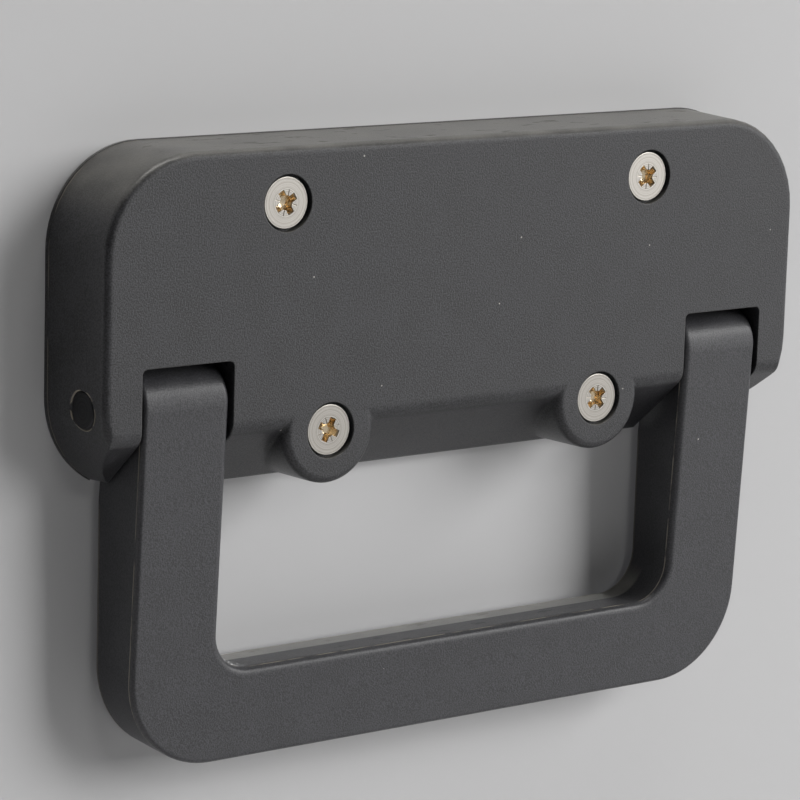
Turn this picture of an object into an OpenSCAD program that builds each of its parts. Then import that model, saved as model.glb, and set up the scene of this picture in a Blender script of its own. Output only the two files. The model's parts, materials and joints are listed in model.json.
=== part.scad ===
// Folding handle: a moulded base plate that screws flat to a panel, and a U-shaped
// grip that hangs from two hinge pins and swings out to be held.
// Everything is drawn looking at the panel: x to the right, y up, z out of the panel.
// stand_up() then turns it, so that z is up and the handle faces -y.

/* [Base plate] */
// Width of the plate at its mounting face
plate_w = 155; // [153:0.5:166]
// Height of the plate at its mounting face
plate_h = 60; // [59:0.5:64]
// Depth from the mounting face to the front face
plate_d = 16.5; // [16:0.1:20]
// Radius of the plate's four corners
corner_r = 17.5; // [14:0.5:20]
// Radius of the rounded front edge
front_edge_r = 1.5; // [0.6:0.1:2]
// How much each end leans in from the back to the front
end_draft = 1.35; // [0.3:0.05:2]
// How much the top leans in from the back to the front
top_draft = 0.3; // [0.1:0.05:1.5]
// Height of the thin rim that lies on the panel
rim_h = 0.5; // [0.3:0.1:1]
// How far that rim stands proud of the sides
rim_out = 0.15; // [0.05:0.05:0.4]
// Distance of the bevel's upper edge below the plate's middle
bevel_start = 18.2; // [17:0.1:20]
// Height of the bevel's lower edge above the mounting face
bevel_end = 3; // [2:0.1:4]
// Radius where the front face turns into the bevel
bevel_r = 4; // [1:0.5:6]

/* [Walls and ribs at the back] */
// Thickness of the moulded walls
wall = 2.8; // [2:0.1:3.2]
// Thickness of the ribs
rib_t = 2; // [1.2:0.1:2.6]
// Distance between ribs across the plate
rib_pitch_x = 15.5; // [15:0.5:15.5]
// Distance between ribs up the plate
rib_pitch_y = 14; // [11:0.5:16]

/* [Screws] */
// Distance between the upper pair of screws
upper_spacing = 80; // [70:1:90]
// Distance between the lower pair of screws
lower_spacing = 60; // [48:1:62]
// Distance between the upper and the lower row
row_spacing = 40; // [37:1:40]
// Diameter of the thread
thread_d = 5; // [4.6:0.1:5.2]
// Diameter of the plain neck above the thread
neck_d = 4.5; // [4:0.1:4.5]
// Diameter of the countersunk head
head_d = 8.95; // [8:0.05:9.5]
// Height of the flat band around the head
head_band = 0.3; // [0.1:0.05:0.5]
// How far the head lies below the front face
head_sunk = 0.6; // [0.2:0.1:1]
// Gap around the head in its counterbore
head_gap = 0.48; // [0.2:0.02:0.8]
// Depth of the counterbore
counterbore_h = 1.5; // [1.4:0.1:2.5]
// Gap around the thread in the plate
thread_gap = 0.25; // [0.1:0.05:0.5]
// Length of thread behind the mounting face
thread_out = 9; // [4:0.5:20]
// Radius of the boss around each lower screw, at the mounting face
boss_r = 9.8; // [9:0.1:9.8]
// How much each boss leans in from the back to the front
boss_draft = 0.35; // [0.1:0.05:1]
// Radius of the tube around each screw, inside the plate
tube_r = 7; // [6.2:0.1:8]
// Width of the cross recess from tip to tip
recess_w = 4.4; // [3:0.1:6]
// Width of one wing of the cross recess
recess_wing = 1.3; // [0.6:0.05:1.5]
// Depth of the cross recess
recess_h = 1.7; // [0.8:0.1:2]
// Angle at which each screw came to rest: upper left, upper right, lower left, lower right
recess_turn = [40, 38, 20, 42]; // [0:1:90]

/* [Hinge] */
// Distance of the pin's middle from the mounting face
pin_out = 10.3; // [10:0.1:11]
// Distance of the pin's middle below the plate's middle
pin_down = 13.2; // [12.5:0.1:14]
// Diameter of the pins
pin_d = 6.5; // [5:0.1:6.8]
// Length of each pin
pin_l = 34; // [30:0.5:36]
// How far the pin's end lies inside the plate's end
pin_sunk = 0.15; // [0.1:0.05:1]
// Chamfer at the mouth of the pin's hole
mouth_chamfer = 0.25; // [0.2:0.05:0.8]
// Chamfer at the ends of the pin
pin_chamfer = 0.25; // [0.1:0.05:0.5]
// Gap around the pin in the grip
pin_gap = 0.05; // [0.02:0.01:0.1]
// Width of the ear between each notch and the plate's end
ear_t = 8.9; // [8:0.1:10]
// Width of each notch
notch_w = 18.35; // [17:0.05:18.5]
// Gap between the top of the notch and the arm's round end
notch_top_gap = 1.05; // [0.4:0.05:2]
// Gap between the arm's side and the notch's side
arm_gap = 0.6; // [0.3:0.05:1]
// Radius of the notch's upper corners
notch_r = 1; // [0.5:0.1:3]

/* [Grip] */
// Radius of the round end of each arm, about the pin
arm_end_r = 6.1; // [5.5:0.1:6.2]
// Distance from the pin's middle down to the bottom of the grip
grip_drop = 63.75; // [52:0.25:90]
// Height of the grip's bottom bar at its front
bar_h = 16.15; // [12:0.05:18]
// Distance from the mounting face to the front of the bottom bar
bar_front = 12.8; // [12:0.1:15]
// Distance from the mounting face to the back of the grip
grip_back = 2.4; // [2:0.1:4]
// Distance below the pin at which the arms reach their full depth
arm_taper = 17.8; // [14:0.2:24]
// Radius of the grip's outer corners
grip_corner_r = 17; // [12:0.5:20]
// Radius of the grip's inner corners
grip_inner_r = 7; // [4:0.5:10]
// Radius of the grip's outer front edges
grip_edge_r = 0.8; // [0.5:0.1:1.2]
// Radius of the front edges around the grip's window
window_edge_r = 1.3; // [0.5:0.1:1.4]
// Distance of the mould's parting line behind the grip's front
parting = 1.5; // [1.5:0.1:3]
// How much the grip's window widens on each side, from the parting line to the back
grip_draft = 1.4; // [0.2:0.1:1.6]

/* [Hidden] */

charcoal = [0.16, 0.16, 0.165];
light_charcoal = [0.2, 0.2, 0.205];
pin_black = [0.08, 0.08, 0.085];
stainless = [0.72, 0.71, 0.69];

// Smoothness of the hulled corners, of the true circles and of the plate's front edge
hull_fn = 40;
circle_fn = 64;
edge_steps = 6;
// How far a cutter passes the solid that it cuts, and a length that passes all of it
past = 1;
far = 200;

// Half sizes of the plate at its rim, above the rim and at its front
rim_x = plate_w / 2;
rim_y = plate_h / 2;
side_x = rim_x - rim_out;
side_y = rim_y - rim_out;
front_x = side_x - end_draft;
front_y = side_y - top_draft;
side_r = corner_r - rim_out;
side_base = rim_h / 2;

// The bevel runs straight from the front face to a low band along the plate's lower edge
bevel_angle = atan2(plate_d - bevel_end, side_y - bevel_start);
bevel_tangent = bevel_r * tan(bevel_angle / 2);
bevel_top = -bevel_start + bevel_tangent;

// Pocket at the back
pocket_x = front_x - wall;
pocket_y = front_y - wall;
pocket_r = side_r - wall;
pocket_h = plate_d - wall;

// Countersunk seat: a 90 degree cone from the head's band down to the neck
head_top = plate_d - head_sunk;
cone_top = head_top - head_band;
cone_bottom = cone_top - (head_d - neck_d) / 2;
hole_r = thread_d / 2 + thread_gap;
seat_bottom = cone_top - head_d / 2 + hole_r;
thread_chamfer = 0.8;
wing_flare = 0.6;
screw_places = [
    [-upper_spacing / 2, row_spacing / 2],
    [upper_spacing / 2, row_spacing / 2],
    [-lower_spacing / 2, -row_spacing / 2],
    [lower_spacing / 2, -row_spacing / 2]
];

// Hinge
pin_y = -pin_down;
notch_out = rim_x - ear_t;
notch_in = notch_out - notch_w;
notch_top = pin_y + arm_end_r + notch_top_gap;
end_face = side_x - end_draft * (pin_out - side_base) / (plate_d - side_base);
pin_end = end_face - pin_sunk;
pin_start = pin_end - pin_l;
pin_tube_r = pin_d / 2 + wall;

// Grip. Its front is flat and touches the arms' round ends, so it leans by the angle
// between the line to the bar's edge and the tangent to the round end
arm_in = notch_in + arm_gap;
arm_out = notch_out - arm_gap;
front_lean = asin(arm_end_r / norm([grip_drop, pin_out - bar_front]))
    + atan2(pin_out - bar_front, grip_drop);
back_out = pin_out - grip_back;
// Depth of the narrow flat at the back of each round end, where the arm starts
end_flat = 0.02;
grip_deep = arm_end_r + back_out + past;
corner_x = arm_out - grip_corner_r;
corner_y = grip_corner_r - grip_drop;
inner_x = arm_in - grip_inner_r;
inner_y = bar_h - grip_drop + grip_inner_r;

// Turns the drawing upright
module stand_up() {
    rotate([90, 0, 0]) children();
}

// Draws its children at the right and at the left
module both_sides() {
    children();
    mirror([1, 0, 0]) children();
}

// Rectangle with round corners, about the middle
module round_rect(half_x, half_y, r) {
    square([2 * half_x, 2 * (half_y - r)], center = true);
    square([2 * (half_x - r), 2 * half_y], center = true);
    for (x = [r - half_x, half_x - r], y = [r - half_y, half_y - r])
        translate([x, y])
            circle(r = r, $fn = circle_fn);
}

// Disc with a rounded upper edge, whose top is at z = 0
module button(r, edge) {
    rotate_extrude($fn = hull_fn)
        polygon(concat(
            [[0, -edge]],
            [for (i = [0 : edge_steps]) let (a = 90 * i / edge_steps)
                [r - edge + edge * cos(a), edge * sin(a) - edge]],
            [[0, 0]]
        ));
}

// Outside of the plate: drafted sides, rounded front edge, and the rim on the panel
module plate_block() {
    hull()
        for (x = [-1, 1], y = [-1, 1]) {
            translate([x * (side_x - side_r), y * (side_y - side_r), side_base])
                cylinder(r = side_r, h = side_base, $fn = hull_fn);
            translate([x * (front_x - side_r), y * (front_y - side_r), plate_d])
                button(side_r, front_edge_r);
        }
    linear_extrude(rim_h)
        round_rect(rim_x, rim_y, corner_r);
}

// Extrudes a side view, drawn as [out of the panel, up], over a width about the middle
module across(width) {
    rotate([0, -90, 0])
        linear_extrude(width, center = true)
            children();
}

// What the bevel takes off along the lower front edge
module bevel_cut() {
    lean = [-sin(bevel_angle), -cos(bevel_angle)];
    across(plate_w + 2 * past)
        difference() {
            polygon([
                [plate_d, bevel_top],
                [plate_d + past, bevel_top],
                [plate_d + past, -rim_y - past],
                [bevel_end, -side_y] + past * lean,
                [plate_d, -bevel_start] + bevel_tangent * lean
            ]);
            translate([plate_d - bevel_r, bevel_top])
                circle(r = bevel_r, $fn = circle_fn);
        }
}

// Round boss that carries a lower screw through the bevel
module screw_boss() {
    top_r = boss_r - boss_draft;
    rotate_extrude($fn = circle_fn)
        polygon(concat(
            [[0, 0], [boss_r, 0]],
            [for (i = [0 : edge_steps]) let (a = 90 * i / edge_steps)
                [top_r - front_edge_r + front_edge_r * cos(a),
                 plate_d - front_edge_r + front_edge_r * sin(a)]],
            [[0, plate_d]]
        ));
}

// Countersunk and counterbored hole for one screw
module screw_hole() {
    translate([0, 0, -past])
        cylinder(r = hole_r, h = plate_d, $fn = circle_fn);
    translate([0, 0, seat_bottom])
        cylinder(r1 = hole_r, r2 = head_d / 2, h = cone_top - seat_bottom, $fn = circle_fn);
    translate([0, 0, plate_d - counterbore_h])
        cylinder(r = head_d / 2 + head_gap, h = counterbore_h + past, $fn = circle_fn);
}

// Notch in which the right arm turns. It is open at the bottom, front and back
module notch() {
    depth = rim_y + notch_top;
    translate([notch_in, notch_top - depth - past, -past])
        cube([notch_w, depth + past - notch_r, plate_d + 2 * past]);
    translate([notch_in + notch_r, notch_top - 2 * notch_r, -past])
        cube([notch_w - 2 * notch_r, 2 * notch_r, plate_d + 2 * past]);
    for (x = [notch_in + notch_r, notch_out - notch_r])
        translate([x, notch_top - notch_r, -past])
            cylinder(r = notch_r, h = plate_d + 2 * past, $fn = circle_fn);
}

// Moves its children to the right-hand pin, with z along the pin
module at_pin(x) {
    translate([x, pin_y, pin_out])
        rotate([0, 90, 0])
            children();
}

// Bore for the right-hand pin, with the chamfer at its mouth
module pin_bore() {
    mouth_r = pin_d / 2 + mouth_chamfer;
    at_pin(pin_start)
        cylinder(d = pin_d, h = pin_l + past, $fn = circle_fn);
    at_pin(end_face - mouth_chamfer)
        cylinder(r1 = pin_d / 2, r2 = mouth_r + past, h = mouth_chamfer + past, $fn = circle_fn);
}

// Space that the core leaves behind the front skin, before walls and ribs divide it
module pocket() {
    inset = wall / sin(bevel_angle);
    slope = 1 / tan(bevel_angle);
    intersection() {
        translate([0, 0, -past])
            linear_extrude(pocket_h + past)
                round_rect(pocket_x, pocket_y, pocket_r);
        across(plate_w)
            polygon([
                [-past, rim_y],
                [plate_d, rim_y],
                [plate_d, inset - bevel_start],
                [-past, inset - bevel_start - (plate_d + past) * slope]
            ]);
    }
}

// Walls, tubes and ribs that stand in the pocket
module pocket_walls() {
    both_sides() {
        translate([notch_in - wall, -rim_y, -2 * past])
            cube([far, rim_y, plate_d]);
        at_pin(pin_start - wall)
            cylinder(r = pin_tube_r, h = pin_l, $fn = circle_fn);
        translate([pin_start - wall, pin_y - pin_tube_r, pin_out])
            cube([pin_l, 2 * pin_tube_r, plate_d - pin_out]);
    }
    for (place = screw_places)
        translate([place[0], place[1], -2 * past])
            cylinder(r = tube_r, h = plate_d, $fn = circle_fn);
    for (x = [0 : rib_pitch_x : pocket_x], side = [-1, 1])
        translate([side * x - rib_t / 2, -rim_y, 0])
            cube([rib_t, plate_h, plate_d]);
    for (y = [-rib_pitch_y, 0, rib_pitch_y])
        translate([-rim_x, y - rib_t / 2, 0])
            cube([plate_w, rib_t, plate_d]);
}

// The moulded plate, with its ribbed back
module base_plate() {
    color(charcoal)
        stand_up()
            difference() {
                union() {
                    difference() {
                        plate_block();
                        bevel_cut();
                    }
                    for (place = [screw_places[2], screw_places[3]])
                        translate(place)
                            screw_boss();
                }
                difference() {
                    pocket();
                    pocket_walls();
                }
                for (place = screw_places)
                    translate(place)
                        screw_hole();
                both_sides() {
                    notch();
                    pin_bore();
                }
            }
}

// Half section of a block whose front edge is rounded, as [outwards, height]. Its front
// is at 0, and it reaches inwards past the middle of its corner
module edge_section(reach, r, h, edge_r) {
    difference() {
        translate([-reach, -h])
            square([reach + r, h]);
        translate([r - edge_r, -edge_r])
            difference() {
                square(edge_r + past);
                circle(r = edge_r, $fn = circle_fn);
            }
    }
}

// Half section of the grip's window: flared to the front, drafted to the back
module window_section(reach) {
    flare_r = grip_inner_r + window_edge_r;
    difference() {
        polygon([
            [-reach, past],
            [flare_r, past],
            [flare_r, -window_edge_r],
            [grip_inner_r, -window_edge_r],
            [grip_inner_r, -parting],
            [grip_inner_r + grip_draft, -grip_deep],
            [grip_inner_r + grip_draft, -grip_deep - past],
            [-reach, -grip_deep - past]
        ]);
        translate([flare_r, -window_edge_r])
            circle(r = window_edge_r, $fn = circle_fn);
    }
}

// Sweeps a section down both sides and along the bottom of a block with round lower
// corners. Child 0 is the corner's section, child 1 the same reaching to the middle
module sweep_round(mid_x, mid_y, top) {
    both_sides() {
        translate([mid_x, mid_y, 0])
            rotate([0, 0, -90])
                rotate_extrude(angle = 90, $fn = circle_fn)
                    children(0);
        translate([mid_x, top, 0])
            rotate([90, 0, 0])
                linear_extrude(top - mid_y)
                    children(1);
    }
    translate([mid_x, mid_y, 0])
        rotate([90, 0, -90])
            linear_extrude(2 * mid_x)
                children(0);
}

// Half of an arm's round end, with a rounded edge on its outer side
module half_end(edge_r) {
    rotate([0, 90, 0])
        rotate_extrude(angle = 180, $fn = circle_fn)
            edge_section(0, arm_end_r, (arm_out - arm_in) / 2, edge_r);
}

// The U-shaped grip, drawn about the pin with its front face level, then leant back
module grip_body() {
    rotate([front_lean, 0, 0])
        difference() {
            union() {
                translate([0, 0, arm_end_r])
                    sweep_round(corner_x, corner_y, 0) {
                        edge_section(0, grip_corner_r, grip_deep, grip_edge_r);
                        edge_section(corner_x, grip_corner_r, grip_deep, grip_edge_r);
                    }
                both_sides() {
                    translate([arm_out, 0, 0])
                        half_end(grip_edge_r);
                    translate([arm_in, 0, 0])
                        mirror([1, 0, 0])
                            half_end(window_edge_r);
                }
            }
            translate([0, 0, arm_end_r])
                sweep_round(inner_x, inner_y, arm_end_r + past) {
                    window_section(0);
                    window_section(inner_x);
                }
        }
}

// What is taken off the grip's back, drawn about the pin. The arms grow deeper below the
// pin, then run level with the panel
module grip_back_cut() {
    end_back = end_flat - arm_end_r;
    across(far)
        polygon([
            [end_back, far],
            [end_back, 0],
            [-back_out, -arm_taper],
            [-back_out, -far],
            [-far, -far],
            [-far, far]
        ]);
}

// The moulded grip, hung on its pins
module grip() {
    color(light_charcoal)
        stand_up()
            difference() {
                translate([0, pin_y, pin_out])
                    difference() {
                        grip_body();
                        grip_back_cut();
                    }
                both_sides()
                    at_pin(notch_in)
                        cylinder(r = pin_d / 2 + pin_gap, h = notch_w, $fn = circle_fn);
            }
}

// Plain round pin with chamfered ends, at the right
module hinge_pin() {
    pin_r = pin_d / 2;
    at_pin(pin_start)
        rotate_extrude($fn = circle_fn)
            polygon([
                [0, 0],
                [pin_r - pin_chamfer, 0],
                [pin_r, pin_chamfer],
                [pin_r, pin_l - pin_chamfer],
                [pin_r - pin_chamfer, pin_l],
                [0, pin_l]
            ]);
}

module hinge_pin_right() {
    color(pin_black)
        stand_up()
            hinge_pin();
}

module hinge_pin_left() {
    color(pin_black)
        stand_up()
            mirror([1, 0, 0])
                hinge_pin();
}

// Cross recess: two wings that narrow towards the bottom
module cross_recess() {
    for (turn = [0, 90])
        rotate([0, 0, turn])
            intersection() {
                translate([-recess_w / 2, -recess_wing / 2, -recess_h])
                    cube([recess_w, recess_wing, recess_h + past]);
                translate([0, 0, -recess_h])
                    cylinder(
                        r1 = recess_w / 2 - wing_flare,
                        r2 = recess_w / 2,
                        h = recess_h + past,
                        $fn = circle_fn
                    );
            }
}

// Countersunk screw with its thread running into the panel
module screw(turn) {
    thread_r = thread_d / 2;
    neck_r = neck_d / 2;
    difference() {
        rotate_extrude($fn = circle_fn)
            polygon([
                [0, -thread_out],
                [thread_r - thread_chamfer, -thread_out],
                [thread_r, thread_chamfer - thread_out],
                [thread_r, 0],
                [neck_r, 0],
                [neck_r, cone_bottom],
                [head_d / 2, cone_top],
                [head_d / 2, head_top],
                [0, head_top]
            ]);
        translate([0, 0, head_top])
            rotate([0, 0, turn])
                cross_recess();
    }
}

module mounting_screws() {
    color(stainless)
        stand_up()
            for (i = [0 : len(screw_places) - 1])
                translate(screw_places[i])
                    screw(recess_turn[i]);
}

base_plate();
grip();
hinge_pin_left();
hinge_pin_right();
mounting_screws();
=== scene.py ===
"""Looks of the folding handle: moulded black plate and grip, blackened hinge pins and
stainless countersunk screws, in front of a plain pale wall and floor.

Lengths are in metres. X runs to the right, Z up, and the handle faces -Y."""

import json
import math

import bpy
import bmesh
import numpy as np
from mathutils import Matrix, Vector


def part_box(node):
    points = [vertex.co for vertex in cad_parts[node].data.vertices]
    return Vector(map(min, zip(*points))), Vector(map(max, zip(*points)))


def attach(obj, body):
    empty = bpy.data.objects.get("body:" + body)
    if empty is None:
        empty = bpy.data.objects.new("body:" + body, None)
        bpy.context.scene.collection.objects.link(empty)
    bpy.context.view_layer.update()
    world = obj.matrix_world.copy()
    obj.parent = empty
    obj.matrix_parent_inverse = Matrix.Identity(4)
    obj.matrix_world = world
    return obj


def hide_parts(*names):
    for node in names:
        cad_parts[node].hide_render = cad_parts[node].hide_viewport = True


MM = 0.001

# Camera, at the photograph's viewing angle
CAMERA_PLACE = (-384.1 * MM, -504.54 * MM, 103.05 * MM)
CAMERA_YAW = math.radians(37.03)
CAMERA_PITCH = math.radians(11.184)
CAMERA_ROLL = math.radians(1.633)
IMAGE_SIDE = 800
FOCAL_PIXELS = 3575.6
IMAGE_CENTRE = (396.63, 410.23)
SENSOR_WIDTH = 36.0

# Screws, from the head's top inwards. The turns are in degrees, counter-clockwise, for
# the left and the right screw of each row
SCREW_TURNS = {"upper": (30, 39), "lower": (65, 38)}
HEAD_RADIUS = 4.475 * MM
HEAD_SUNK = 0.6 * MM
HEAD_BAND = 0.3 * MM
HEAD_CHAMFER = 0.12 * MM
NECK_RADIUS = 2.25 * MM
THREAD_RADIUS = 2.5 * MM
THREAD_PITCH = 0.8 * MM
THREAD_DEPTH = 0.42 * MM
THREAD_LENGTH = 9 * MM
THREAD_TIP = 0.8 * MM
RECESS_REACH = 2.2 * MM
RECESS_WING = 1.3 * MM
RECESS_DEPTH = 1.7 * MM
RECESS_CORE = 1.35 * MM
TICK_FROM = 1.2 * MM
TICK_TO = 2.3 * MM
TICK_WIDTH = 0.17 * MM
TICK_DEPTH = 0.12 * MM
STAIN_REACH = 2.3 * MM
STAIN_DEPTH = 0.5 * MM

# Hinge, and the plate's own marks
HINGE_OUT = 10.3 * MM
HINGE_DOWN = 13.2 * MM
BORE_RADIUS = 3.25 * MM
# Depth of the painted highlight line near the plate's back rim
RIM_LINE_OUT = 0.8 * MM

# Grip: the lean of its front, where its painted highlight lines lie, and where hands wipe its bar
GRIP_LEAN = math.radians(3.24)
PARTING_PLACE = 16.0 * MM
GRIP_BACK = 2.4 * MM
ARM_FULL_DEPTH = 31 * MM
HAND_WIPED = 6.6 * MM

# Nylon's finish, on the sides and in front
SIDE_ROUGHNESS = 0.34
FRONT_ROUGHNESS = 0.58
SIDE_GRAIN = 0.45
FRONT_GRAIN = 1.0
PEBBLE = 0.30 * MM
GRAIN_RELIEF = 0.08 * MM
SHARP_EDGE = 0.30 * MM

# Nylon's wear and dirt, with painted highlights on edges and ridges and painted sheen in the dust
# Lighter tone of the front edges: partly wear, partly a painted highlight where the edges catch the
# light
EDGE_WEAR_AND_HIGHLIGHT = (0.16, 0.155, 0.14, 1)
SPECK = (0.60, 0.58, 0.53, 1)
# Pale film on upward faces: partly dust, partly a painted sheen for the light the tops reflect
DUST_AND_SHEEN = (0.30, 0.29, 0.26, 1)
# Pale colour of the painted highlight lines on ridges, edges and flash
PAINTED_HIGHLIGHT = (0.36, 0.32, 0.25, 1)
SPECK_SPACING = 5 * MM
SPECK_SHARE = 0.25
SPECK_SIZE = 0.045
SCUFF_STRETCH = (170.0, 420.0, 420.0)
SCUFF_SHARE = 0.07

# Light and ground
WALL_COLOUR = (0.55, 0.55, 0.555, 1)
WALL_GAP = 0.05 * MM
WALL_HALF_WIDTH = 1.6
WALL_TOP = 1.4
FLOOR_DROP = 0.30
FLOOR_REACH = 1.3


def add_node(tree, kind, inputs=None, **settings):
    """Adds a shader node. Inputs are numbers, colours or other nodes' outputs."""
    made = tree.nodes.new(kind)
    for name, value in settings.items():
        setattr(made, name, value)
    for name, value in (inputs or {}).items():
        if isinstance(value, bpy.types.NodeSocket):
            tree.links.new(value, made.inputs[name])
        else:
            made.inputs[name].default_value = value
    return made


def math_node(tree, operation, first, second=0.0, third=0.0, clamp=False):
    """Adds a Math node and gives its result."""
    made = tree.nodes.new("ShaderNodeMath")
    made.operation = operation
    made.use_clamp = clamp
    for place, value in enumerate((first, second, third)):
        if isinstance(value, bpy.types.NodeSocket):
            tree.links.new(value, made.inputs[place])
        else:
            made.inputs[place].default_value = value
    return made.outputs[0]


def blend_colour(tree, share, low, high):
    """Mixes two colours: low where share is 0, high where it is 1."""
    made = add_node(tree, "ShaderNodeMix", data_type="RGBA")
    for socket, value in ((made.inputs[0], share), (made.inputs[6], low), (made.inputs[7], high)):
        if isinstance(value, bpy.types.NodeSocket):
            tree.links.new(value, socket)
        else:
            socket.default_value = value
    return made.outputs[2]


def spread(tree, value, low, high, to_low=0.0, to_high=1.0, smooth=False):
    """Maps low..high to to_low..to_high, and holds the ends."""
    made = add_node(
        tree,
        "ShaderNodeMapRange",
        {"Value": value, "From Min": low, "From Max": high, "To Min": to_low, "To Max": to_high},
        interpolation_type="SMOOTHSTEP" if smooth else "LINEAR",
    )
    return made.outputs[0]


def new_group(name, inputs, outputs):
    """A shader node group, with its ends. Inputs and outputs are {name: (socket, default)}."""
    tree = bpy.data.node_groups.new(name, "ShaderNodeTree")
    for label, (socket, default) in inputs.items():
        made = tree.interface.new_socket(name=label, in_out="INPUT", socket_type=socket)
        if default is not None:
            made.default_value = default
    for label, socket in outputs.items():
        tree.interface.new_socket(name=label, in_out="OUTPUT", socket_type=socket)
    return tree, tree.nodes.new("NodeGroupInput").outputs, tree.nodes.new("NodeGroupOutput").inputs


def use_group(tree, group, inputs):
    """Places a node group in a material, with this material's own values."""
    made = add_node(tree, "ShaderNodeGroup", node_tree=group)
    for name, value in inputs.items():
        if isinstance(value, bpy.types.NodeSocket):
            tree.links.new(value, made.inputs[name])
        else:
            made.inputs[name].default_value = value
    return made.outputs


def grain_group():
    """Spark-eroded mould texture: a fine pebble, with slow patches in its depth."""
    tree, given, out = new_group(
        "mould grain",
        {
            "Vector": ("NodeSocketVector", None),
            "Pebble": ("NodeSocketFloat", 0.0003),
        },
        {"Height": "NodeSocketFloat", "Mottle": "NodeSocketFloat"},
    )
    scale = math_node(tree, "DIVIDE", 1.0, given["Pebble"])
    pebble = add_node(
        tree,
        "ShaderNodeTexNoise",
        {"Vector": given["Vector"], "Scale": scale, "Detail": 2.5, "Roughness": 0.6},
    )
    patch_scale = math_node(tree, "MULTIPLY", scale, 0.045)
    patch = add_node(
        tree,
        "ShaderNodeTexNoise",
        {"Vector": given["Vector"], "Scale": patch_scale, "Detail": 3.0, "Roughness": 0.5},
    )
    tree.links.new(pebble.outputs["Fac"], out["Height"])
    tree.links.new(spread(tree, patch.outputs["Fac"], 0.3, 0.7), out["Mottle"])
    return tree


def dust_group():
    """Sparse pale specks: a few cells of a scatter hold one small dot each."""
    tree, given, out = new_group(
        "dust",
        {
            "Vector": ("NodeSocketVector", None),
            "Spacing": ("NodeSocketFloat", 0.004),
            "Share": ("NodeSocketFloat", 0.1),
            "Size": ("NodeSocketFloat", 0.05),
        },
        {"Mask": "NodeSocketFloat"},
    )
    scale = math_node(tree, "DIVIDE", 1.0, given["Spacing"])
    cells = add_node(
        tree,
        "ShaderNodeTexVoronoi",
        {"Vector": given["Vector"], "Scale": scale, "Randomness": 1.0},
    )
    parts = add_node(tree, "ShaderNodeSeparateColor", {"Color": cells.outputs["Color"]})
    size = math_node(tree, "MULTIPLY", given["Size"], parts.outputs["Green"])
    near = math_node(tree, "LESS_THAN", cells.outputs["Distance"], size)
    kept = math_node(tree, "LESS_THAN", parts.outputs["Red"], given["Share"])
    tree.links.new(math_node(tree, "MULTIPLY", near, kept), out["Mask"])
    return tree


def scuff_group():
    """Short rubbed marks, drawn out along one direction."""
    tree, given, out = new_group(
        "scuffs",
        {
            "Vector": ("NodeSocketVector", None),
            "Stretch": ("NodeSocketVector", (100.0, 400.0, 400.0)),
            "Share": ("NodeSocketFloat", 0.1),
        },
        {"Mask": "NodeSocketFloat"},
    )
    drawn = add_node(tree, "ShaderNodeVectorMath", operation="MULTIPLY")
    tree.links.new(given["Vector"], drawn.inputs[0])
    tree.links.new(given["Stretch"], drawn.inputs[1])
    rub = add_node(
        tree,
        "ShaderNodeTexNoise",
        {"Vector": drawn.outputs["Vector"], "Scale": 1.0, "Detail": 3.0, "Roughness": 0.6},
    )
    low = math_node(tree, "SUBTRACT", 0.68, given["Share"])
    over = math_node(tree, "SUBTRACT", rub.outputs["Fac"], low)
    tree.links.new(math_node(tree, "MULTIPLY", over, 9.0, clamp=True), out["Mask"])
    return tree


def facing_group():
    """How far a face looks along a given direction, as a soft mask."""
    tree, given, out = new_group(
        "facing",
        {
            "Normal": ("NodeSocketVector", None),
            "Direction": ("NodeSocketVector", (0.0, -1.0, 0.0)),
            "From": ("NodeSocketFloat", 0.9),
            "To": ("NodeSocketFloat", 0.98),
        },
        {"Mask": "NodeSocketFloat"},
    )
    dot = add_node(tree, "ShaderNodeVectorMath", operation="DOT_PRODUCT")
    tree.links.new(given["Normal"], dot.inputs[0])
    tree.links.new(given["Direction"], dot.inputs[1])
    tree.links.new(
        spread(tree, dot.outputs["Value"], given["From"], given["To"], smooth=True), out["Mask"]
    )
    return tree


def edge_group():
    """Convex and concave edges, found by how far a rounded normal leaves the true one."""
    tree, given, out = new_group(
        "edges",
        {"Radius": ("NodeSocketFloat", 0.0004)},
        {"Mask": "NodeSocketFloat", "Normal": "NodeSocketVector"},
    )
    rounded = add_node(tree, "ShaderNodeBevel", {"Radius": given["Radius"]}, samples=6)
    true = add_node(tree, "ShaderNodeNewGeometry")
    dot = add_node(tree, "ShaderNodeVectorMath", operation="DOT_PRODUCT")
    tree.links.new(rounded.outputs["Normal"], dot.inputs[0])
    tree.links.new(true.outputs["Normal"], dot.inputs[1])
    tree.links.new(spread(tree, dot.outputs["Value"], 0.995, 0.86), out["Mask"])
    tree.links.new(rounded.outputs["Normal"], out["Normal"])
    return tree


def ring_group():
    """Turning marks: fine rings about an axis, from each point's own distance to it."""
    tree, given, out = new_group(
        "turned rings",
        {
            "Radius": ("NodeSocketFloat", 0.0),
            "Pitch": ("NodeSocketFloat", 0.0002),
            "Vector": ("NodeSocketVector", None),
        },
        {"Height": "NodeSocketFloat", "Tone": "NodeSocketFloat"},
    )
    waver = add_node(
        tree,
        "ShaderNodeTexNoise",
        {"Vector": given["Vector"], "Scale": 900.0, "Detail": 2.0},
    )
    turns = math_node(tree, "DIVIDE", given["Radius"], given["Pitch"])
    uneven = math_node(tree, "MULTIPLY_ADD", waver.outputs["Fac"], 1.3, turns)
    bands = add_node(tree, "ShaderNodeTexNoise", noise_dimensions="1D")
    tree.links.new(uneven, bands.inputs["W"])
    bands.inputs["Scale"].default_value = 1.0
    bands.inputs["Detail"].default_value = 3.0
    tree.links.new(bands.outputs["Fac"], out["Height"])
    tree.links.new(spread(tree, bands.outputs["Fac"], 0.3, 0.7), out["Tone"])
    return tree


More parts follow.
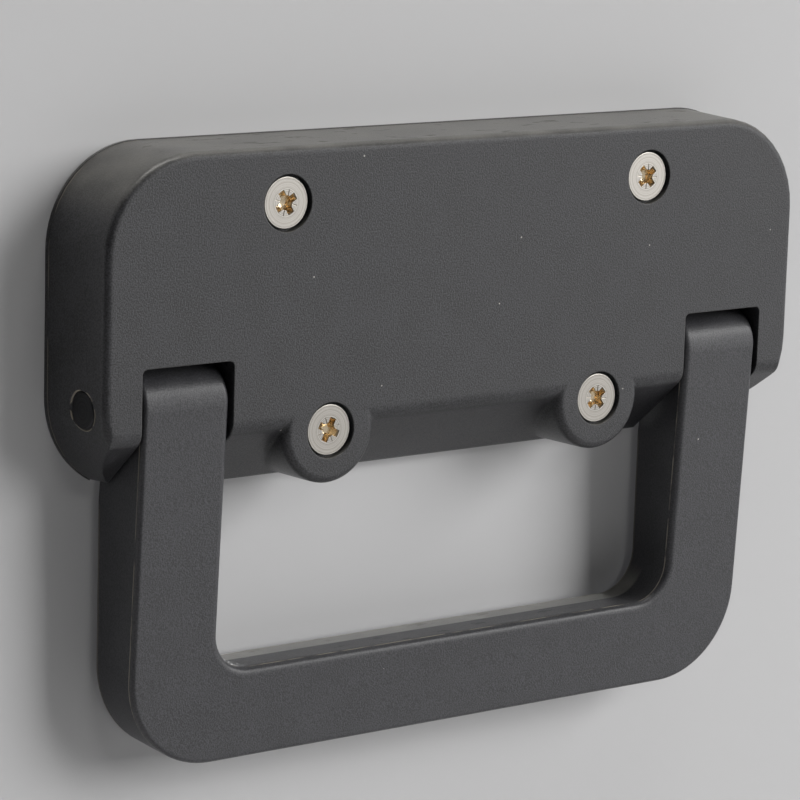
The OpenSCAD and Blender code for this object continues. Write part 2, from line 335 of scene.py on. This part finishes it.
def new_material(name):
    """A material with an empty Principled shader, ready for its inputs."""
    made = bpy.data.materials.new(name)
    made.use_nodes = True
    tree = made.node_tree
    tree.nodes.clear()
    shader = tree.nodes.new("ShaderNodeBsdfPrincipled")
    output = tree.nodes.new("ShaderNodeOutputMaterial")
    tree.links.new(shader.outputs["BSDF"], output.inputs["Surface"])
    return made, tree, shader


def distance_to_axis(tree, place, centre, keep):
    """Distance to an axis through centre. keep holds 1 for the coordinates across the axis
    and 0 for the one along it."""
    away = add_node(tree, "ShaderNodeVectorMath", operation="SUBTRACT")
    tree.links.new(place, away.inputs[0])
    away.inputs[1].default_value = centre
    flat = add_node(tree, "ShaderNodeVectorMath", operation="MULTIPLY")
    tree.links.new(away.outputs["Vector"], flat.inputs[0])
    flat.inputs[1].default_value = keep
    length = add_node(tree, "ShaderNodeVectorMath", operation="LENGTH")
    tree.links.new(flat.outputs["Vector"], length.inputs[0])
    return length.outputs["Value"]


def thin_line(tree, away, outer, inner):
    """A line where away is near 0: full up to inner on both sides, gone from outer on."""
    return spread(tree, math_node(tree, "ABSOLUTE", away), outer, inner)


def broken(tree, vector, scale, low, high):
    """A patchy mask that interrupts a line or a ring."""
    noise = add_node(
        tree, "ShaderNodeTexNoise", {"Vector": vector, "Scale": scale, "Detail": 2.0}
    )
    return spread(tree, noise.outputs["Fac"], low, high)


def grip_ridge_highlights(tree, place, front):
    """Painted highlights: a thin pale line round the grip's sides, on the flash where the two
    halves of the mould met, and a fainter one along its back edges, where their rounding
    catches the light."""
    spot = place.outputs["Object"]
    parts = add_node(tree, "ShaderNodeSeparateXYZ", {"Vector": spot})
    forward = add_node(tree, "ShaderNodeVectorMath", operation="DOT_PRODUCT")
    tree.links.new(spot, forward.inputs[0])
    forward.inputs[1].default_value = (0, -math.cos(GRIP_LEAN), -math.sin(GRIP_LEAN))
    away = math_node(tree, "SUBTRACT", forward.outputs["Value"], PARTING_PLACE)
    # Painted highlight on the flash of the mould's seam
    parting_highlight = thin_line(tree, away, 0.14 * MM, 0.05 * MM)
    parting_highlight = math_node(tree, "MULTIPLY", parting_highlight, broken(tree, spot, 260.0, 0.36, 0.55))
    behind_front = math_node(tree, "SUBTRACT", 1.0, front, clamp=True)
    parting_highlight = math_node(tree, "MULTIPLY", parting_highlight, behind_front)
    below = spread(tree, parts.outputs["Z"], -HINGE_DOWN - 3 * MM, -HINGE_DOWN - 6 * MM)
    parting_highlight = math_node(tree, "MULTIPLY", parting_highlight, below)

    turned = add_node(tree, "ShaderNodeSeparateXYZ", {"Vector": place.outputs["Normal"]})
    on_side = spread(tree, math_node(tree, "ABSOLUTE", turned.outputs["Y"]), 0.75, 0.45)
    # Painted highlight along the back edges of the sides
    away = math_node(tree, "ADD", parts.outputs["Y"], GRIP_BACK + 0.2 * MM)
    back_edge_highlight = math_node(tree, "MULTIPLY", thin_line(tree, away, 0.3 * MM, 0.15 * MM), on_side)
    straight = spread(tree, parts.outputs["Z"], -ARM_FULL_DEPTH, -ARM_FULL_DEPTH - 2 * MM)
    back_edge_highlight = math_node(tree, "MULTIPLY", back_edge_highlight, straight)
    return math_node(tree, "MAXIMUM", parting_highlight, math_node(tree, "MULTIPLY", back_edge_highlight, 0.35))


def dust_and_sheen_on_plate(tree, parts):
    """The pale film of dust and painted sheen lies all over the plate's top."""
    return 1.0


def dust_and_sheen_on_grip(tree, parts):
    """Hands wipe the front of the bar, so the pale film of dust and painted sheen stays at its
    back, below the hinge.
    """
    low = spread(tree, parts.outputs["Z"], -HINGE_DOWN - 6 * MM, -HINGE_DOWN - 9 * MM)
    behind = spread(tree, parts.outputs["Y"], -HAND_WIPED - 0.3 * MM, -HAND_WIPED + 0.3 * MM)
    return math_node(tree, "MULTIPLY", low, math_node(tree, "MULTIPLY", behind, 2.0))


def plate_ridge_highlights(tree, place, front):
    """Painted highlights: a bright broken ring on the chamfer at the mouth of each hinge bore,
    and a faint line on a small lip near the back rim.
    """
    spot = place.outputs["Object"]
    parts = add_node(tree, "ShaderNodeSeparateXYZ", {"Vector": spot})
    radius = distance_to_axis(tree, spot, (0, -HINGE_OUT, -HINGE_DOWN), (0, 1, 1))
    # Painted highlight ring on the chamfer at each bore's mouth
    away = math_node(tree, "SUBTRACT", radius, BORE_RADIUS + 0.18 * MM)
    ring = thin_line(tree, away, 0.15 * MM, 0.06 * MM)
    at_end = spread(tree, math_node(tree, "ABSOLUTE", parts.outputs["X"]), 74.0 * MM, 74.5 * MM)
    ring = math_node(tree, "MULTIPLY", ring, at_end)
    ring = math_node(tree, "MULTIPLY", ring, broken(tree, spot, 420.0, 0.44, 0.5))

    # Painted highlight on a small lip near the back rim
    away = math_node(tree, "ADD", parts.outputs["Y"], RIM_LINE_OUT)
    rim = thin_line(tree, away, 0.16 * MM, 0.06 * MM)
    rim = math_node(tree, "MULTIPLY", rim, broken(tree, spot, 200.0, 0.40, 0.52))
    return math_node(tree, "MAXIMUM", ring, math_node(tree, "MULTIPLY", rim, 0.45))


def facing(tree, groups, place, direction, start, full):
    """Mask of the faces that look along a direction: none up to start, all from full on."""
    given = {"Normal": place.outputs["Normal"], "Direction": direction, "From": start, "To": full}
    return use_group(tree, groups["facing"], given)["Mask"]


def nylon_edges(tree, groups, parts, front, soft_edge):
    """Rounded shading at the edges, softer where the bosses meet the bevel."""
    inward = spread(tree, math_node(tree, "ABSOLUTE", parts.outputs["X"]), 52 * MM, 48 * MM)
    low = spread(tree, parts.outputs["Z"], -8 * MM, -11 * MM)
    off_front = math_node(tree, "SUBTRACT", 1.0, front)
    near_bosses = math_node(tree, "MULTIPLY", inward, low)
    near_bosses = math_node(tree, "MULTIPLY", near_bosses, off_front)
    radius = spread(tree, near_bosses, 0.0, 1.0, SHARP_EDGE, soft_edge)
    return use_group(tree, groups["edges"], {"Radius": radius})


def nylon_colour(tree, groups, spot, grain, edge_wear_and_highlight, dust_and_sheen, marks, dark, light):
    """Grain's tone, then edge wear with a painted highlight, specks, a pale film of dust and
    painted sheen, and the piece's own painted highlight lines.
    """
    tone = math_node(tree, "MULTIPLY_ADD", grain["Height"], 4.0, -1.7)
    tone = math_node(tree, "MULTIPLY_ADD", grain["Mottle"], 0.4, tone, clamp=True)
    specks = use_group(
        tree,
        groups["dust"],
        {"Vector": spot, "Spacing": SPECK_SPACING, "Share": SPECK_SHARE, "Size": SPECK_SIZE},
    )
    body = blend_colour(tree, tone, dark, light)
    # Front edges lighter: partly wear, partly painted highlight
    body = blend_colour(tree, math_node(tree, "MULTIPLY", edge_wear_and_highlight, 0.22), body, EDGE_WEAR_AND_HIGHLIGHT)
    body = blend_colour(tree, math_node(tree, "MULTIPLY", specks["Mask"], 0.6), body, SPECK)
    # Pale film of dust and painted sheen on upward faces
    body = blend_colour(tree, dust_and_sheen, body, DUST_AND_SHEEN)
    # Painted highlight lines on ridges and edges
    return blend_colour(tree, math_node(tree, "MULTIPLY", marks, 0.8), body, PAINTED_HIGHLIGHT)


def nylon_roughness(tree, groups, spot, grain, front, wiped, upward):
    """Glossier sides, a matte front, and scuffed or wiped tops."""
    scuffs = use_group(
        tree, groups["scuffs"], {"Vector": spot, "Stretch": SCUFF_STRETCH, "Share": SCUFF_SHARE}
    )
    rough = spread(tree, front, 0.0, 1.0, SIDE_ROUGHNESS, FRONT_ROUGHNESS)
    rough = math_node(tree, "MULTIPLY_ADD", grain["Mottle"], 0.06, rough)
    wiped_top = math_node(tree, "MULTIPLY", wiped, upward)
    rough = math_node(tree, "MULTIPLY_ADD", wiped_top, 0.3, rough)
    scuffed_top = math_node(tree, "MULTIPLY", scuffs["Mask"], upward)
    return math_node(tree, "MULTIPLY_ADD", scuffed_top, 0.35, rough, clamp=True)


def moulded_nylon(name, groups, front_tilt, soft_edge, dust_and_sheen_reach, dark, light, draw_ridge_highlights):
    """Black glass-filled nylon: grained and matte in front, smoother and glossier on the
    sides. front_tilt leans the front's direction, soft_edge rounds the shading where the
    bosses meet the bevel, dust_and_sheen_reach says where a pale film of dust and painted
    sheen lies on upward faces, dark and light are the grain's tones, and draw_ridge_highlights
    draws this piece's own painted highlight lines."""
    made, tree, shader = new_material(name)
    place = tree.nodes.new("ShaderNodeTexCoord")
    spot = place.outputs["Object"]
    parts = add_node(tree, "ShaderNodeSeparateXYZ", {"Vector": spot})
    ahead = (0.0, -math.cos(front_tilt), -math.sin(front_tilt))
    front = facing(tree, groups, place, ahead, 0.80, 0.97)
    upward = facing(tree, groups, place, (0.0, 0.0, 1.0), 0.8, 0.97)
    edges = nylon_edges(tree, groups, parts, front, soft_edge)
    grain = use_group(tree, groups["grain"], {"Vector": spot, "Pebble": PEBBLE})
    # This piece's painted highlight lines, also raised a little in the bump
    marks = draw_ridge_highlights(tree, place, front)

    dust = dust_and_sheen_reach(tree, parts)
    wiped = math_node(tree, "SUBTRACT", 1.0, dust, clamp=True)
    # Pale film on faces that look up, rounded corners that lean up included: partly dust, partly
    # painted sheen
    dust_and_sheen = facing(tree, groups, place, (0.0, 0.0, 1.0), 0.3, 0.85)
    dust_and_sheen = math_node(tree, "MULTIPLY", dust_and_sheen, dust)
    film = spread(tree, grain["Mottle"], 0.0, 1.0, 0.2, 0.36)
    dust_and_sheen = math_node(tree, "MULTIPLY", dust_and_sheen, film)
    # Front-facing edges get the lighter tone: partly wear, partly a painted highlight along the
    # edges
    edge_wear_and_highlight = math_node(tree, "MULTIPLY", edges["Mask"], front)

    coarse = spread(tree, front, 0.0, 1.0, SIDE_GRAIN, FRONT_GRAIN)
    relief = math_node(tree, "MULTIPLY", grain["Height"], coarse)
    relief = math_node(tree, "MULTIPLY_ADD", marks, 1.5, relief)
    given = {"Height": relief, "Strength": 1.0, "Distance": GRAIN_RELIEF, "Normal": edges["Normal"]}
    bump = add_node(tree, "ShaderNodeBump", given)

    colour = nylon_colour(tree, groups, spot, grain, edge_wear_and_highlight, dust_and_sheen, marks, dark, light)
    rough = nylon_roughness(tree, groups, spot, grain, front, wiped, upward)
    tree.links.new(colour, shader.inputs["Base Color"])
    tree.links.new(rough, shader.inputs["Roughness"])
    tree.links.new(bump.outputs["Normal"], shader.inputs["Normal"])
    shader.inputs["IOR"].default_value = 1.5
    return made


def inside_recess(tree, spot, radius):
    """Mask of a screw's recess, fading in below the flat of its head and ending above its
    thread."""
    parts = add_node(tree, "ShaderNodeSeparateXYZ", {"Vector": spot})
    depth = parts.outputs["Y"]
    below_head = spread(tree, depth, 0.04 * MM, STAIN_DEPTH)
    within = spread(tree, radius, STAIN_REACH + 0.2 * MM, STAIN_REACH)
    above_thread = spread(tree, depth, RECESS_DEPTH + 0.7 * MM, RECESS_DEPTH + 0.5 * MM)
    inside = math_node(tree, "MULTIPLY", below_head, within)
    return math_node(tree, "MULTIPLY", inside, above_thread)


def turned_steel(name, groups, centre, keep, low, high, roughness, pitch, tarnish=None):
    """Turned steel with rings about its own axis: centre is a point on the axis, and keep
    picks the two coordinates across it. low and high are its darkest and lightest colours,
    and tarnish is the colour of a screw's stained recess."""
    made, tree, shader = new_material(name)
    spot = tree.nodes.new("ShaderNodeTexCoord").outputs["Object"]
    radius = distance_to_axis(tree, spot, centre, keep)
    rings = use_group(tree, groups["rings"], {"Radius": radius, "Pitch": pitch, "Vector": spot})
    edges = use_group(tree, groups["edges"], {"Radius": 0.08 * MM})
    body = blend_colour(tree, rings["Tone"], low, high)
    rough = spread(tree, rings["Tone"], 0.0, 1.0, *roughness)
    if tarnish is not None:
        stained = inside_recess(tree, spot, radius)
        body = blend_colour(tree, stained, body, tarnish)
        rough = math_node(tree, "MULTIPLY_ADD", stained, -0.12, rough)
    relief = {"Height": rings["Height"], "Strength": 0.3, "Distance": 0.012 * MM}
    bump = add_node(tree, "ShaderNodeBump", {**relief, "Normal": edges["Normal"]})
    tree.links.new(body, shader.inputs["Base Color"])
    tree.links.new(rough, shader.inputs["Roughness"])
    tree.links.new(bump.outputs["Normal"], shader.inputs["Normal"])
    shader.inputs["Metallic"].default_value = 1.0
    return made


def thread_height(turns):
    """Height of the thread, 0 at its root and 1 at its crest, at a share of one turn."""
    return min(1.0, max(0.0, 1.2 * (1 - abs(2 * (turns % 1.0) - 1)) - 0.1))


def screw_rings(sides, mounting_face):
    """The screw as rings of (radius, depth), from the head's top to its tip. mounting_face is
    the depth of the face where the thread starts."""
    cone_end = HEAD_BAND + HEAD_RADIUS - NECK_RADIUS
    plain = [
        (HEAD_RADIUS - 2.5 * HEAD_CHAMFER, 0.0),
        (HEAD_RADIUS - HEAD_CHAMFER, 0.0),
        (HEAD_RADIUS - 0.3 * HEAD_CHAMFER, 0.3 * HEAD_CHAMFER),
        (HEAD_RADIUS, HEAD_CHAMFER),
        (HEAD_RADIUS, HEAD_BAND),
        (NECK_RADIUS, cone_end),
        (NECK_RADIUS, mounting_face - 0.3 * MM),
    ]
    rings = [[(r, depth)] * sides for r, depth in plain]
    steps = round(THREAD_LENGTH / (THREAD_PITCH / 8))
    for step in range(steps + 1):
        along = THREAD_LENGTH * step / steps
        start = min(1.0, along / (0.5 * THREAD_PITCH))
        narrow = max(0.0, along - THREAD_LENGTH + THREAD_TIP)
        ring = []
        for side in range(sides):
            lift = thread_height(along / THREAD_PITCH - side / sides)
            low = THREAD_RADIUS - THREAD_DEPTH
            radius = NECK_RADIUS + start * (low + THREAD_DEPTH * lift - NECK_RADIUS)
            ring.append((min(radius, THREAD_RADIUS - narrow), mounting_face + along))
        rings.append(ring)
    return rings


def closed_mesh(name, rings):
    """Joins rings of (radius, depth) about the Y axis into one closed mesh."""
    sides = len(rings[0])
    shape = bmesh.new()
    loops = []
    for ring in rings:
        loops.append([])
        for side, (radius, depth) in enumerate(ring):
            angle = math.tau * side / sides
            corner = (radius * math.sin(angle), depth, radius * math.cos(angle))
            loops[-1].append(shape.verts.new(corner))
    for near, far in zip(loops, loops[1:]):
        for side in range(sides):
            after = (side + 1) % sides
            shape.faces.new((near[side], near[after], far[after], far[side]))
    shape.faces.new(loops[0])
    shape.faces.new(loops[-1])
    bmesh.ops.recalc_face_normals(shape, faces=shape.faces)
    mesh = bpy.data.meshes.new(name)
    shape.to_mesh(mesh)
    shape.free()
    return mesh


def cross_ring(reach, wing, depth):
    """Twelve corners of a cross, as (x, depth, z)."""
    half = wing / 2
    quarter = [(reach, -half), (reach, half), (half, half)]
    corners = []
    for turn in range(4):
        for x, z in quarter:
            for _ in range(turn):
                x, z = -z, x
            corners.append((x, depth, z))
    return corners


def lofted(name, outlines):
    """A closed cutter through outlines of the same number of corners."""
    shape = bmesh.new()
    loops = [[shape.verts.new(corner) for corner in outline] for outline in outlines]
    for near, far in zip(loops, loops[1:]):
        for place in range(len(near)):
            after = (place + 1) % len(near)
            shape.faces.new((near[place], near[after], far[after], far[place]))
    shape.faces.new(loops[0])
    shape.faces.new(loops[-1])
    bmesh.ops.recalc_face_normals(shape, faces=shape.faces)
    mesh = bpy.data.meshes.new(name)
    shape.to_mesh(mesh)
    shape.free()
    return bpy.data.objects.new(name, mesh)


def recess_cutters():
    """Cutters for the cross recess, its tapered core and the four fine marks between wings."""
    above = -0.3 * MM
    slope = 0.5
    cross = lofted(
        "recess_cross",
        [
            cross_ring(RECESS_REACH - slope * above, RECESS_WING, above),
            cross_ring(RECESS_REACH - slope * RECESS_DEPTH, 0.85 * RECESS_WING, RECESS_DEPTH),
        ],
    )
    core = []
    for radius, depth in ((RECESS_CORE, above), (0.75 * RECESS_CORE, RECESS_DEPTH)):
        core.append([])
        for side in range(16):
            angle = math.tau * (side + 0.5) / 16
            core[-1].append((radius * math.sin(angle), depth, radius * math.cos(angle)))
    core.append([(x * 0.15, RECESS_DEPTH + 0.35 * MM, z * 0.15) for x, _, z in core[-1]])
    cutters = [cross, lofted("recess_core", core)]
    for turn in range(4):
        angle = math.radians(45 + 90 * turn)
        ends = []
        for depth, half in ((above, TICK_WIDTH), (TICK_DEPTH, 0.25 * TICK_WIDTH)):
            flat = [(TICK_FROM, -half), (TICK_TO, -half), (TICK_TO, half), (TICK_FROM, half)]
            ends.append(
                [
                    (
                        x * math.cos(angle) - z * math.sin(angle),
                        depth,
                        x * math.sin(angle) + z * math.cos(angle),
                    )
                    for x, z in flat
                ]
            )
        cutters.append(lofted("recess_mark", ends))
    return cutters


def screw_mesh(mounting_face):
    """One countersunk screw: head, cross recess, neck and rolled thread."""
    mesh = closed_mesh("countersunk_screw", screw_rings(48, mounting_face))
    blank = bpy.data.objects.new("screw_blank", mesh)
    bpy.context.scene.collection.objects.link(blank)
    cutters = recess_cutters()
    for cutter in cutters:
        bpy.context.scene.collection.objects.link(cutter)
        cut = blank.modifiers.new("cut", "BOOLEAN")
        cut.object = cutter
        cut.operation = "DIFFERENCE"
        cut.solver = "EXACT"
    graph = bpy.context.evaluated_depsgraph_get()
    finished = bpy.data.meshes.new_from_object(blank.evaluated_get(graph))
    for thing in cutters + [blank]:
        bpy.data.objects.remove(thing)
    finished.name = "countersunk_screw"
    finished.shade_smooth()
    finished.set_sharp_from_angle(angle=math.radians(20))
    return finished


def place_screws(frame, material, front):
    """Four countersunk screws on the record's two pairs of holes, each turned as it came
    to rest. front is the place of the plate's front face along Y."""
    head_top = front + HEAD_SUNK
    mounts = {mount["name"]: mount for mount in frame["record"]["mounts"]}
    mesh = screw_mesh(-head_top)
    mesh.materials.clear()
    mesh.materials.append(material)
    for row, turns in SCREW_TURNS.items():
        mount = mounts[row + "_screws"]
        x, _, z = mount["pos_m"]
        half = mount["dims"]["spacing_x_mm"] * MM / 2
        for side, shift, turn in (("left", -half, turns[0]), ("right", half, turns[1])):
            screw = bpy.data.objects.new(f"screw_{row}_{side}", mesh.copy())
            bpy.context.scene.collection.objects.link(screw)
            screw.location = (x + shift, head_top, z)
            screw.rotation_euler = (0, -math.radians(turn), 0)
            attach(screw, "base")
            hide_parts("mounting_screws")


def smooth_facets(piece, limit=math.radians(24)):
    """Blends the shading across faces that meet at a small angle, by area."""
    mesh = piece.data
    count = len(mesh.polygons)
    normals = np.zeros(count * 3)
    areas = np.zeros(count)
    mesh.polygons.foreach_get("normal", normals)
    mesh.polygons.foreach_get("area", areas)
    normals = normals.reshape(-1, 3)
    old = np.zeros(len(mesh.loops) * 3, np.float32)
    mesh.corner_normals.foreach_get("vector", old)
    old = old.reshape(-1, 3)
    around = {}
    keys = [tuple(round(c * 1e6) for c in v.co) for v in mesh.vertices]
    for face in mesh.polygons:
        for loop in face.loop_indices:
            around.setdefault(keys[mesh.loops[loop].vertex_index], []).append((face.index, loop))
    fresh = [tuple(n) for n in old]
    closest = math.cos(limit)
    for meeting in around.values():
        own = old[[loop for _, loop in meeting]]
        share = areas[[face for face, _ in meeting]]
        for place, (face, loop) in enumerate(meeting):
            near = own @ own[place] > closest
            total = (own[near] * share[near, None]).sum(0)
            fresh[loop] = tuple(total / max(np.linalg.norm(total), 1e-12))
    for face in mesh.polygons:
        face.use_smooth = True
    mesh.normals_split_custom_set(fresh)


def aim(place, target):
    """A rotation that looks from place to target."""
    return (Vector(target) - Vector(place)).to_track_quat("-Z", "Y").to_euler()


def make_camera():
    """The camera, from its place, its three turns and its focal length in pixels."""
    data = bpy.data.cameras.new("camera")
    camera = bpy.data.objects.new("camera", data)
    bpy.context.scene.collection.objects.link(camera)
    ahead = Vector(
        (
            math.sin(CAMERA_YAW) * math.cos(CAMERA_PITCH),
            math.cos(CAMERA_YAW) * math.cos(CAMERA_PITCH),
            -math.sin(CAMERA_PITCH),
        )
    )
    level = Vector((math.cos(CAMERA_YAW), -math.sin(CAMERA_YAW), 0))
    upright = level.cross(ahead)
    right = math.cos(CAMERA_ROLL) * level + math.sin(CAMERA_ROLL) * upright
    up = math.cos(CAMERA_ROLL) * upright - math.sin(CAMERA_ROLL) * level
    turn = Matrix((right, up, -ahead)).transposed().to_4x4()
    camera.matrix_world = Matrix.Translation(CAMERA_PLACE) @ turn
    data.sensor_width = SENSOR_WIDTH
    data.lens = FOCAL_PIXELS * SENSOR_WIDTH / IMAGE_SIDE
    data.shift_x = 0.5 - IMAGE_CENTRE[0] / IMAGE_SIDE
    data.shift_y = IMAGE_CENTRE[1] / IMAGE_SIDE - 0.5
    data.clip_start = 0.01
    data.clip_end = 20
    bpy.context.scene.camera = camera


def softbox(name, place, target, size, brightness, colour=(1, 1, 1)):
    """A rectangular lamp whose face has the given brightness, where 1 shows as white."""
    data = bpy.data.lights.new(name, "AREA")
    data.shape = "RECTANGLE"
    data.size, data.size_y = size
    data.energy = brightness * math.pi * size[0] * size[1]
    data.color = colour
    lamp = bpy.data.objects.new(name, data)
    lamp.location = place
    lamp.rotation_euler = aim(place, target)
    bpy.context.scene.collection.objects.link(lamp)


def light_scene():
    """Soft key at the right, small fill in front, strip above, and a lamp behind that shows
    the back."""
    middle = (0, 0, -0.02)
    softbox("key", (1.75, -1.64, 0.78), middle, (1.56, 1.56), 8.4, (1.0, 0.995, 0.99))
    softbox("fill", (-0.10, -1.35, 0.75), middle, (0.25, 0.25), 6.0, (1.0, 0.995, 0.98))
    softbox("top", (-0.05, -0.09, 1.25), middle, (0.9, 0.14), 20.0, (1.0, 0.985, 0.95))
    softbox("rear", (0.75, 1.2, -0.12), middle, (0.7, 0.24), 28.0)


def surround_with_studio():
    """Pale surroundings under a dark ceiling, much dimmer as a source of light. Gloss also
    meets a dark left side, which draws the edges there."""
    world = bpy.data.worlds.new("studio")
    bpy.context.scene.world = world
    world.use_nodes = True
    tree = world.node_tree
    tree.nodes.clear()
    place = tree.nodes.new("ShaderNodeTexCoord")
    parts = add_node(tree, "ShaderNodeSeparateXYZ", {"Vector": place.outputs["Generated"]})
    pale = spread(tree, parts.outputs["Z"], 0.15, 0.6, 0.68, 0.05, smooth=True)
    rays = tree.nodes.new("ShaderNodeLightPath")
    open_side = spread(tree, parts.outputs["X"], -0.55, -0.1, 0.0, 1.0, smooth=True)
    gloss = math_node(tree, "MULTIPLY", rays.outputs["Is Glossy Ray"], open_side)
    seen = math_node(tree, "MAXIMUM", rays.outputs["Is Camera Ray"], gloss)
    seen = math_node(tree, "MAXIMUM", seen, rays.outputs["Is Transmission Ray"])
    dim = math_node(tree, "SUBTRACT", pale, 0.05)
    strength = math_node(tree, "MULTIPLY_ADD", dim, seen, 0.05)
    ground = add_node(
        tree, "ShaderNodeBackground", {"Color": (0.96, 0.97, 1.0, 1), "Strength": strength}
    )
    output = tree.nodes.new("ShaderNodeOutputWorld")
    tree.links.new(ground.outputs[0], output.inputs["Surface"])


def stage_material():
    """Pale matte paint that can't be seen from behind, and lets the rear lamp's light by."""
    made, tree, shader = new_material("pale_paint")
    shader.inputs["Base Color"].default_value = WALL_COLOUR
    shader.inputs["Roughness"].default_value = 0.85
    clear = tree.nodes.new("ShaderNodeBsdfTransparent")
    behind = tree.nodes.new("ShaderNodeNewGeometry")
    pick = tree.nodes.new("ShaderNodeMixShader")
    rays = tree.nodes.new("ShaderNodeLightPath")
    clear_for = (behind.outputs["Backfacing"], rays.outputs["Is Shadow Ray"])
    tree.links.new(math_node(tree, "MAXIMUM", *clear_for), pick.inputs[0])
    tree.links.new(shader.outputs["BSDF"], pick.inputs[1])
    tree.links.new(clear.outputs["BSDF"], pick.inputs[2])
    output = next(n for n in tree.nodes if n.type == "OUTPUT_MATERIAL")
    tree.links.new(pick.outputs[0], output.inputs["Surface"])
    return made


def make_stage(plate_low, plate_high):
    """A wall behind the handle, open where the plate's hollow back covers it, and a floor.
    Both keep the handle's shadow."""
    inset = 7 * MM
    notch_reach = 46 * MM
    notch_top = -4 * MM
    across = [-WALL_HALF_WIDTH, plate_low.x + inset, -notch_reach]
    across += [notch_reach, plate_high.x - inset, WALL_HALF_WIDTH]
    up = [-FLOOR_DROP, plate_low.z + inset, notch_top, plate_high.z - inset, WALL_TOP]
    shape = bmesh.new()
    back = plate_high.y + WALL_GAP
    for column in range(len(across) - 1):
        for row in range(len(up) - 1):
            hollow = (row == 2 and 1 <= column <= 3) or (row == 1 and column == 2)
            if hollow:
                continue
            x0, x1 = across[column], across[column + 1]
            z0, z1 = up[row], up[row + 1]
            corners = [(x0, back, z0), (x1, back, z0), (x1, back, z1), (x0, back, z1)]
            shape.faces.new([shape.verts.new(c) for c in corners])
    mesh = bpy.data.meshes.new("wall")
    bmesh.ops.remove_doubles(shape, verts=shape.verts, dist=1e-6)
    shape.to_mesh(mesh)
    shape.free()
    wall = bpy.data.objects.new("wall", mesh)
    floor_mesh = bpy.data.meshes.new("floor")
    corners = [
        (x, y, -FLOOR_DROP)
        for x, y in (
            (-FLOOR_REACH, -FLOOR_REACH),
            (FLOOR_REACH, -FLOOR_REACH),
            (FLOOR_REACH, FLOOR_REACH),
            (-FLOOR_REACH, FLOOR_REACH),
        )
    ]
    floor_mesh.from_pydata(corners, [], [(0, 1, 2, 3)])
    floor = bpy.data.objects.new("floor", floor_mesh)
    paint = stage_material()
    for thing in (wall, floor):
        thing.data.materials.append(paint)
        bpy.context.scene.collection.objects.link(thing)


def set_material(piece, material):
    """Gives a piece one material all over."""
    piece.data.materials.clear()
    piece.data.materials.append(material)


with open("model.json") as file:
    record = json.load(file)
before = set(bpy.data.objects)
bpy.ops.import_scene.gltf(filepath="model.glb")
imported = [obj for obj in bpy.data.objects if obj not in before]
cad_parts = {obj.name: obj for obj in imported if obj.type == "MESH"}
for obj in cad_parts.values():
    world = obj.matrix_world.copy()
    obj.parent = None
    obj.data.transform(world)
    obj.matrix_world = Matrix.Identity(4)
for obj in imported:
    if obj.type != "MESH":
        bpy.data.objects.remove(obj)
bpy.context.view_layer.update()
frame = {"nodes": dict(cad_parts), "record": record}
plate = frame["nodes"]["base_plate"]
grip = frame["nodes"]["grip"]
plate_low, plate_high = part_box("base_plate")

bpy.context.scene.view_settings.view_transform = "Standard"
make_camera()
light_scene()
surround_with_studio()
make_stage(plate_low, plate_high)

shared = {
    "grain": grain_group(),
    "dust": dust_group(),
    "scuffs": scuff_group(),
    "facing": facing_group(),
    "edges": edge_group(),
    "rings": ring_group(),
}
plate_nylon = moulded_nylon(
    "plate_nylon",
    shared,
    front_tilt=0.0,
    soft_edge=1.1 * MM,
    dust_and_sheen_reach=dust_and_sheen_on_plate,
    dark=(0.0100, 0.0100, 0.0108, 1),
    light=(0.042, 0.042, 0.046, 1),
    draw_ridge_highlights=plate_ridge_highlights,
)
grip_nylon = moulded_nylon(
    "grip_nylon",
    shared,
    front_tilt=GRIP_LEAN,
    soft_edge=0.5 * MM,
    dust_and_sheen_reach=dust_and_sheen_on_grip,
    dark=(0.024, 0.024, 0.0265, 1),
    light=(0.050, 0.050, 0.055, 1),
    draw_ridge_highlights=grip_ridge_highlights,
)
stainless = turned_steel(
    "stainless",
    shared,
    centre=(0, 0, 0),
    keep=(1, 0, 1),
    low=(0.225, 0.211, 0.192, 1),
    high=(0.42, 0.40, 0.366, 1),
    roughness=(0.30, 0.44),
    pitch=0.16 * MM,
    tarnish=(0.66, 0.54, 0.37, 1),
)
black_steel = turned_steel(
    "black_steel",
    shared,
    centre=(0, -HINGE_OUT, -HINGE_DOWN),
    keep=(0, 1, 1),
    low=(0.020, 0.020, 0.021, 1),
    high=(0.060, 0.060, 0.063, 1),
    roughness=(0.35, 0.5),
    pitch=0.3 * MM,
)
set_material(plate, plate_nylon)
set_material(grip, grip_nylon)
for side in ("left", "right"):
    set_material(frame["nodes"]["hinge_pin_" + side], black_steel)
smooth_facets(plate)
place_screws(frame, stainless, plate_low.y)
